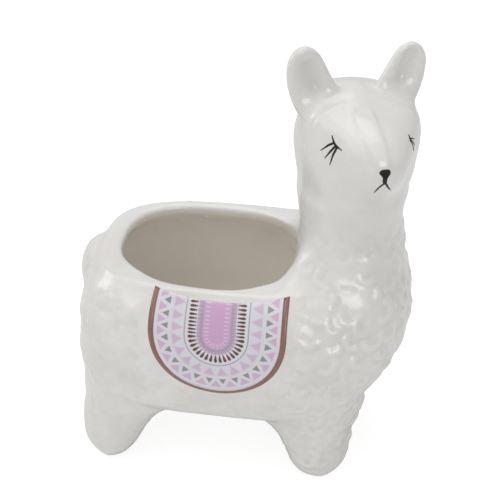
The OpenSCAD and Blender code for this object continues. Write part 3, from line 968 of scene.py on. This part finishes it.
    def _egg_shaped(self, surface: Surface) -> None:
        """Thickens the rim inward at its near rear corner and thins it beside the near blanket."""
        p, lip = surface.points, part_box("body_shell")[1].z
        near = hump(p[:, 2], over(lip, self.rim_rise), over(lip, self.rim_fall))
        near *= ease(-facing(p, surface.normals()), *self.rim_facing)
        way = off_mouth(p)
        from_rear = np.degrees(np.arctan2(np.abs(way[:, 1]), -way[:, 0]))
        rear, side = (bell(from_rear - middle, width) for middle, width in (self.rear_at, self.side_at))
        share = near * (1.0 - ease(in_oval(p, self.rim_halves), *self.rim_within))
        share *= self.rear_thick * rear - self.side_thin * side
        share *= 1.0 - ease(p[:, 1], *self.rim_near_y)
        p[:, :2] -= outward(p) * surface.blurred(share, 8)[:, None]

    def _trimmed(self, surface: Surface) -> None:
        """Swells and sinks the soft places of the list."""
        normals = surface.normals()
        for swell in self.swells:
            far = np.linalg.norm(surface.points / MM - np.array(swell.centre), axis=1)
            height = swell.height * MM * bell(far, swell.radius)
            surface.points = surface.points + normals * height[:, None]

    def _domed(self, surface: Surface) -> None:
        """Swells the crown between the ears, so that their feet run into it."""
        p, normals = surface.points, surface.normals()
        x, y = self.dome_at
        swell = np.exp(-((p[:, 0] - x) / self.dome_r) ** 2 - ((p[:, 1] - y) / self.dome_r) ** 2)
        crown = ease(p[:, 2], *over(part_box("head")[0].z, self.crown_z))
        swell *= ease(normals[:, 2], *self.dome_level) * crown
        p[:, 2] += self.dome_h * surface.blurred(swell, 10)

    def _spread(self, surface: Surface) -> None:
        """Broadens the rear feet just above their soles."""
        p = surface.points
        for side in Side:
            low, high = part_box(f"rear_{side.word}_leg")
            middle = np.array([(low.x + high.x) / 2, (low.y + high.y) / 2])
            off = p[:, :2] - middle
            far = np.linalg.norm(off, axis=1)
            share = (1.0 - ease(p[:, 2], *self.foot_z)) * hump(far, self.foot_from, self.foot_to)
            p[:, :2] += off / (far[:, None] + TINY) * (self.foot_spread * share)[:, None]

    def build(self, wool: Wool, blanket: Blanket, face: "Face") -> bpy.types.Object:
        """Builds and dresses the casting.

        Args:
            wool: The moulded wool.
            blanket: The blanket, which lies on smooth ground.
            face: The face, whose modelling is part of the casting.

        Returns:
            The casting.
        """
        voxel = self.voxel * 1.0
        mesh = self._remeshed(voxel)
        mesh.name = "glazed_casting"
        surface = Surface(mesh)
        log.info("skin of %d points", len(surface.points))
        self._relaxed(surface, voxel)
        self._domed(surface)
        self._filleted(surface, voxel)
        self._egg_shaped(surface)
        self._spread(surface)
        self._trimmed(surface)
        normals = surface.normals()
        inside = wool.inside(surface.points, normals)
        height = wool.relief(surface, normals, blanket, inside)
        raised = height + face.relief(surface.points, normals)
        surface.points = surface.points + normals * raised[:, None]
        fine = surface.blurred(surface.points, 3)
        surface.points = surface.points + (fine - surface.points) * self.softened
        surface.write()
        # Painted shade: darker where the wool lies under its surroundings, and by a share in the ears'
        # hollows
        shaded_hollows = (surface.blurred(height, self.shade_steps) - height) / self.shade_depth
        shaded_hollows = np.clip(shaded_hollows, 0.0, self.shade_most)
        shaded_hollows += self.ear_hollow_shade * face.ear_shade(surface.points, normals)
        # Kept on the points: the hollows' painted shade, and the mask of the well's inside that carries
        # painted bounce light
        for name, values in (("hollow", np.clip(shaded_hollows, 0.0, 1.0)), ("inside", surface.blurred(inside, 3))):
            kept = mesh.attributes.new(name, "FLOAT", "POINT")
            kept.data.foreach_set("value", values.astype(np.float32))
        mesh.shade_smooth()
        mesh.materials.clear()
        piece = link("glazed_casting", mesh)
        settle(piece, self.nodes, self.finish.material())
        return piece


@dataclass(frozen=True)
class Stroke:
    """A brush stroke: points across and up the face in millimetres, and its half widths there."""

    points: tuple[tuple[float, float], ...]
    halves: tuple[float, ...]


@dataclass
class Face:
    """The painted face and its modelling, about the neck's axis, with the brow as a line of points."""

    axis_x: float = 45 * MM
    turn: float = 66.0
    right_eye: float = -38.0
    left_eye: float = 31.5
    proud: float = 0.16 * MM
    sunk: float = 0.2 * MM
    edge_share: float = 0.35
    step: float = 0.35
    ray_from: float = 100 * MM
    # The bridge of the nose: its ends' heights, and its half width and middle, which change up it
    bridge_h: float = 0.9 * MM
    bridge_rise: Span = mm(157, 160)
    bridge_fall: Span = mm(170.5, 173.5)
    bridge_climb: Span = mm(159.5, 12.5)
    bridge_half: Span = (2.55, 1.5)
    bridge_middle: Span = (0.65, 2.2)
    bridge_edge: Span = mm(-0.4, 0.7)
    bridge_ahead: float = 5 * MM
    valley_h: float = 0.45 * MM
    valley_off: float = 2.4 * MM
    valley_w: float = 1.7 * MM
    brow_h: float = 0.55 * MM
    brow_w: float = 1.4 * MM
    ear_depth: float = 1.9 * MM
    ear_facing: Span = (0.1, 0.5)
    ear_hollows: tuple[tuple[Place, Place, float], ...] = (
        ((26.7, -8.6, 187.0), (30.0, -8.4, 178.0), 2.9), ((65.0, 6.8, 187.5), (61.3, 6.4, 177.5), 2.5))
    brow: tuple[Place, ...] = (
        (29.9, -16.7, 164.1), (31.2, -16.3, 167.9), (34.4, -15.5, 170.9), (38.3, -12.8, 172.3),
        (43.3, -10.1, 172.5), (50.7, -7.1, 171.9), (59.1, -3.8, 170.4), (64.5, -1.5, 167.0))
    finish: BrushFinish = field(default_factory=BrushFinish)

    @staticmethod
    def _apart(p: Array, start: Sequence[float], end: Sequence[float]) -> Array:
        """Distance of each point from a line between two places, which are in millimetres."""
        first, way = np.array(start) * MM, (np.array(end) - np.array(start)) * MM
        share = np.clip(((p - first) @ way) / (way @ way), 0.0, 1.0)
        return np.linalg.norm(p - first - share[:, None] * way, axis=1)

    def relief(self, p: Array, n: Array) -> Array:
        """Height of the bridge of the nose and the brow, less the depth of the ears' hollows.

        Args:
            p: The points.
            n: Their outward directions.

        Returns:
            The height at each point.
        """
        a = math.radians(-self.turn)
        ahead = (p[:, 0] - self.axis_x) * math.cos(a) + p[:, 1] * math.sin(a)
        across = -(p[:, 0] - self.axis_x) * math.sin(a) + p[:, 1] * math.cos(a)
        rise = hump(p[:, 2], self.bridge_rise, self.bridge_fall)
        climb = (p[:, 2] - self.bridge_climb[0]) / self.bridge_climb[1]
        half = (self.bridge_half[0] + self.bridge_half[1] * climb) * MM
        middle = -(self.bridge_middle[0] + self.bridge_middle[1] * climb) * MM
        plateau = 1.0 - ease(np.abs(across - middle), *over(half, self.bridge_edge))
        valley = bell(across - middle + half + self.valley_off, self.valley_w)
        height = (self.bridge_h * plateau - self.valley_h * valley) * rise * (ahead > self.bridge_ahead)
        brow = np.min([self._apart(p, *ends) for ends in zip(self.brow[:-1], self.brow[1:])], axis=0)
        height += self.brow_h * bell(brow, self.brow_w)
        return height - self.ear_depth * self.ear_shade(p, n)

    def ear_shade(self, p: Array, n: Array) -> Array:
        """Depth of the ears' hollows at each point, from 0 to 1."""
        reach = np.min([self._apart(p, start, end) / (half_width * MM)
                        for start, end, half_width in self.ear_hollows], axis=0)
        return ease(-n[:, 1], *self.ear_facing) * bell(reach, 1.0)

    def _ribbon(self, stroke: Stroke) -> Array:
        """Grid of points of a stroke, tapered and rounded at its ends, in millimetres."""
        knots = np.array(stroke.points)
        lengths = np.concatenate([[0.0], np.cumsum(np.linalg.norm(np.diff(knots, axis=0), axis=1))])
        count = max(6, round(lengths[-1] / self.step))
        along = np.linspace(0.0, lengths[-1], count)
        middle = np.stack([np.interp(along, lengths, knots[:, axis]) for axis in (0, 1)], axis=1)
        for _ in range(3):
            middle[1:-1] = (middle[:-2] + 2 * middle[1:-1] + middle[2:]) / 4
        half = np.interp(along, lengths, stroke.halves)
        way = np.gradient(middle, axis=0)
        way /= np.linalg.norm(way, axis=1)[:, None]
        side = np.stack([-way[:, 1], way[:, 0]], axis=1)
        shares = np.linspace(-1.0, 1.0, 5)
        return middle[:, None, :] + side[:, None, :] * half[:, None, None] * shares[None, :, None]

    def _painted(self, name: str, turn: float, grids: Sequence[Array], ground: BVHTree) -> bpy.types.Object:
        """Lays strokes on the face as one piece.

        Args:
            name: The piece's name.
            turn: Where they are seen from, in degrees from the middle of the face.
            grids: Their points, across and up, in millimetres.
            ground: The casting's surface.

        Returns:
            The piece.
        """
        a = math.radians(turn - self.turn)
        ahead, across = Vector((math.cos(a), math.sin(a), 0.0)), Vector((-math.sin(a), math.cos(a), 0.0))
        points, faces = np.empty((0, 3)), np.empty((0, 4), int)
        for grid in grids:
            starts = [Vector((self.axis_x, 0.0, z * MM)) + across * u * MM + ahead * self.ray_from
                      for u, z in grid.reshape(-1, 2)]
            swell = np.tile(1.0 - np.linspace(-1.0, 1.0, grid.shape[1]) ** 4, grid.shape[0])
            proud = self.proud * (self.edge_share + (1.0 - self.edge_share) * swell)
            more, quads = laid_sheet(starts, -ahead, ground, proud, self.sunk, grid.shape[:2], flip=True)
            faces = np.concatenate([faces, quads + len(points)])
            points = np.concatenate([points, more])
        return new_mesh_piece(name, points, faces.tolist())

    def lashes(self, side: Side) -> list[Stroke]:
        """Strokes of one closed eye: the lid's line and its lashes, across from the eye's middle."""

        def drawn(halves: tuple[float, ...], *knots: tuple[float, float]) -> Stroke:
            """Returns a stroke, mirrored onto this side of the face."""
            return Stroke(tuple((side.value * u, z) for u, z in knots), halves)

        if side is Side.LEFT:
            return [
                drawn((0.25, 0.5, 0.6, 0.3), (0.0, 164.2), (-0.3, 163.2), (-0.2, 162.2), (0.2, 161.2)),
                drawn((0.36, 0.3, 0.12), (-0.1, 162.2), (0.9, 159.8), (1.3, 157.3)),
                drawn((0.3, 0.24, 0.1), (0.0, 162.4), (1.7, 160.6), (2.8, 158.8)),
                drawn((0.3, 0.22, 0.1), (0.0, 162.8), (2.0, 162.0), (3.4, 161.0)),
            ]
        return [
            drawn((0.2, 0.42, 0.5, 0.42, 0.12), (1.46, 165.6), (0.46, 163.7), (-0.39, 162.7), (-1.81, 162.2),
                  (-3.7, 161.7)),
            drawn((0.42, 0.4, 0.14), (0.17, 163.2), (2.32, 161.7), (5.67, 158.3)),
            drawn((0.42, 0.4, 0.14), (-0.65, 162.3), (1.26, 159.6), (3.57, 155.9)),
            drawn((0.42, 0.4, 0.14), (-1.41, 162.0), (0.0, 158.6), (1.12, 153.9)),
        ]

    def nose(self) -> Array:
        """Grid of the nose: a soft blob that runs down into a short thick stroke, in millimetres."""
        rows = ((158.9, -0.9, 0.9), (158.6, -1.7, 1.5), (158.0, -2.2, 1.9), (157.2, -2.3, 2.05),
                (156.4, -1.8, 1.9), (155.6, -1.1, 1.3), (154.8, -0.85, 1.0), (153.7, -0.9, 0.85),
                (152.6, -0.6, 0.9), (151.8, -0.25, 0.9))
        levels = np.array([row[0] for row in rows])
        fine = np.linspace(levels[0], levels[-1], 27)
        low, high = (np.interp(-fine, -levels, [row[i] for row in rows]) for i in (1, 2))
        shares = np.linspace(0.0, 1.0, 7)
        across = low[:, None] + (high - low)[:, None] * shares[None, :]
        return np.stack([across, np.repeat(fine[:, None], len(shares), 1)], axis=2)

    def mouth(self) -> list[Stroke]:
        """Strokes of the mouth, one to each side of the nose's foot."""
        return [
            Stroke(((0.3, 152.7), (-0.8, 151.2), (-1.6, 149.9), (-2.2, 148.0), (-2.5, 146.4)),
                   (0.4, 0.42, 0.36, 0.3, 0.12)),
            Stroke(((0.4, 152.7), (1.5, 150.5), (2.9, 148.2), (4.1, 146.5)), (0.4, 0.4, 0.32, 0.12)),
        ]

    def build(self, ground: BVHTree) -> None:
        """Builds and dresses the face.

        Args:
            ground: The casting's surface.
        """
        material = self.finish.material()
        eyes = ((Side.RIGHT, self.right_eye), (Side.LEFT, self.left_eye))
        parts = [(f"lashes_{side.word}", turn, [self._ribbon(stroke) for stroke in self.lashes(side)])
                 for side, turn in eyes]
        parts += [("nose", 0.0, [self.nose()]),
                  ("mouth", 0.0, [self._ribbon(stroke) for stroke in self.mouth()])]
        for node, turn, grids in parts:
            piece = self._painted(f"painted_{node}", turn, grids, ground)
            settle(piece, [node], material)


@dataclass(frozen=True)
class Softbox:
    """One square or strip light that looks at a point of the pot, or a pane that only a gloss mirrors."""

    name: str
    place: Place
    width: float
    height: float
    watts: float
    mirrored_only: bool = False


@dataclass
class Studio:
    """The floor, the light and the camera at the photograph's angle."""

    azimuth: float = 9.4
    elevation: float = 34.74
    distance: float = 0.62
    roll: float = -0.27
    target: Place = (2.71 * MM, 0.0, 93.96 * MM)
    focal_px: float = 1473.5
    frame_px: float = 500.0
    clip: Span = (10 * MM, 20.0)
    ambient: float = 0.5
    sheen: float = 0.72
    floor_half: float = 3.0
    floor_glow: float = 0.82
    paper: tuple[Colour, Colour] = (linear(250, 250, 250), linear(246, 246, 246))
    paper_grain: float = 3 * MM
    shadowed: Colour = linear(160, 160, 160)
    white: Colour = (1.0, 1.0, 1.0)
    softboxes: tuple[Softbox, ...] = (
        Softbox("key_softbox", (-0.8, -0.4, 1.05), 0.9, 1.1, 2.6),
        Softbox("front_softbox", (-0.12, -0.95, 1.1), 0.3, 0.4, 0.4),
        Softbox("top_softbox", (-0.1, 0.1, 1.2), 0.9, 0.9, 3.3),
        Softbox("window_strip", (0.48, -0.94, 0.5), 0.3, 0.6, 0.75),
        Softbox("right_window", (0.42, -0.98, 0.44), 0.5, 0.62, 1.7, True),
        Softbox("left_window", (-1.0, -0.15, 0.42), 0.34, 0.42, 1.1, True),
    )

    def floor(self) -> None:
        """Builds the plain white floor, which keeps a faint shadow of the pot."""
        half = self.floor_half
        outline = np.array([(-half, -half, 0.0), (half, -half, 0.0), (half, half, 0.0), (-half, half, 0.0)])
        plane = new_mesh_piece("floor", outline, [(0, 1, 2, 3)])
        material, paint = new_material("white_paper")
        path = paint.node("ShaderNodeLightPath")
        seen = Wire(paint, path.outputs["Is Camera Ray"])
        tooth = paint.blend(paint.grain(self.paper_grain), *self.paper)
        paper = paint.node("ShaderNodeBsdfDiffuse", {}, {"Color": tooth})
        shade = paint.node("ShaderNodeBsdfDiffuse", {}, {"Color": self.shadowed})
        glow = paint.node("ShaderNodeEmission", {}, {"Color": self.white, "Strength": self.floor_glow})
        shown = paint.node("ShaderNodeAddShader", {}, {0: shade.outputs[0], 1: glow.outputs[0]})
        mixed = paint.node("ShaderNodeMixShader", {},
                           {0: seen, 1: paper.outputs[0], 2: shown.outputs[0]})
        paint.node("ShaderNodeOutputMaterial", {}, {0: mixed.outputs[0]})
        plane.data.materials.append(material)

    def world(self) -> None:
        """Sets the room: even light, white to the camera and a little darker where a gloss mirrors it."""
        world = bpy.data.worlds.new("studio")
        world.use_nodes = True
        bpy.context.scene.world = world
        paint = Paint(world.node_tree)
        path = paint.node("ShaderNodeLightPath")
        seen, mirrored = (Wire(paint, path.outputs[ray]) for ray in ("Is Camera Ray", "Is Glossy Ray"))
        strength = seen * (1 - self.ambient) + mirrored * (self.sheen - self.ambient) + self.ambient
        room = paint.node("ShaderNodeBackground", {}, {0: self.white, 1: strength})
        paint.node("ShaderNodeOutputWorld", {}, {0: room.outputs[0]})

    def lights(self) -> None:
        """Hangs the softboxes, each turned to the pot."""
        for box in self.softboxes:
            lamp = bpy.data.lights.new(box.name, "AREA")
            lamp.shape = "RECTANGLE"
            lamp.size, lamp.size_y = box.width, box.height
            lamp.energy = box.watts
            hung = link(box.name, lamp)
            hung.visible_diffuse = not box.mirrored_only
            look = (Vector(self.target) - Vector(box.place)).to_track_quat("-Z", "Y")
            hung.matrix_world = Matrix.Translation(box.place) @ look.to_matrix().to_4x4()

    def camera(self) -> None:
        """Sets the camera at the photograph's angle."""
        a, e, r = (math.radians(v) for v in (self.azimuth, self.elevation, self.roll))
        back = Vector((math.sin(a) * math.cos(e), -math.cos(a) * math.cos(e), math.sin(e)))
        level = Vector((math.cos(a), math.sin(a), 0.0))
        above = back.cross(level)
        right = level * math.cos(r) + above * math.sin(r)
        up = above * math.cos(r) - level * math.sin(r)
        lens = bpy.data.cameras.new("photo_camera")
        lens.sensor_fit = "HORIZONTAL"
        lens.sensor_width = 36.0
        lens.lens = self.focal_px / self.frame_px * lens.sensor_width
        lens.clip_start, lens.clip_end = self.clip
        camera = link("photo_camera", lens)
        turn = Matrix((right, up, back)).transposed().to_4x4()
        camera.matrix_world = Matrix.Translation(Vector(self.target) + back * self.distance) @ turn
        bpy.context.scene.camera = camera

    def build(self) -> None:
        """Builds the whole studio and keeps the view plain."""
        self.camera()
        self.floor()
        self.world()
        self.lights()
        bpy.context.scene.view_settings.view_transform = "Standard"
        log.info("studio with %d softboxes", len(self.softboxes))


def surface_tree(piece: bpy.types.Object) -> BVHTree:
    """Returns a tree of a piece's faces, for laying other pieces on it."""
    mesh = piece.data
    return BVHTree.FromPolygons([v.co for v in mesh.vertices], [tuple(f.vertices) for f in mesh.polygons])


def main() -> None:
    """Builds the pot and its studio."""
    logging.basicConfig(level=logging.INFO, format="%(message)s")
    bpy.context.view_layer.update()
    Studio().build()
    blanket, face = Blanket(), Face()
    wool = Wool(rim_h=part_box("body_shell")[1].z)
    casting = Casting().build(wool, blanket, face)
    ground = surface_tree(casting)
    blanket.build(ground)
    face.build(ground)


if __name__ == "__main__":
    main()
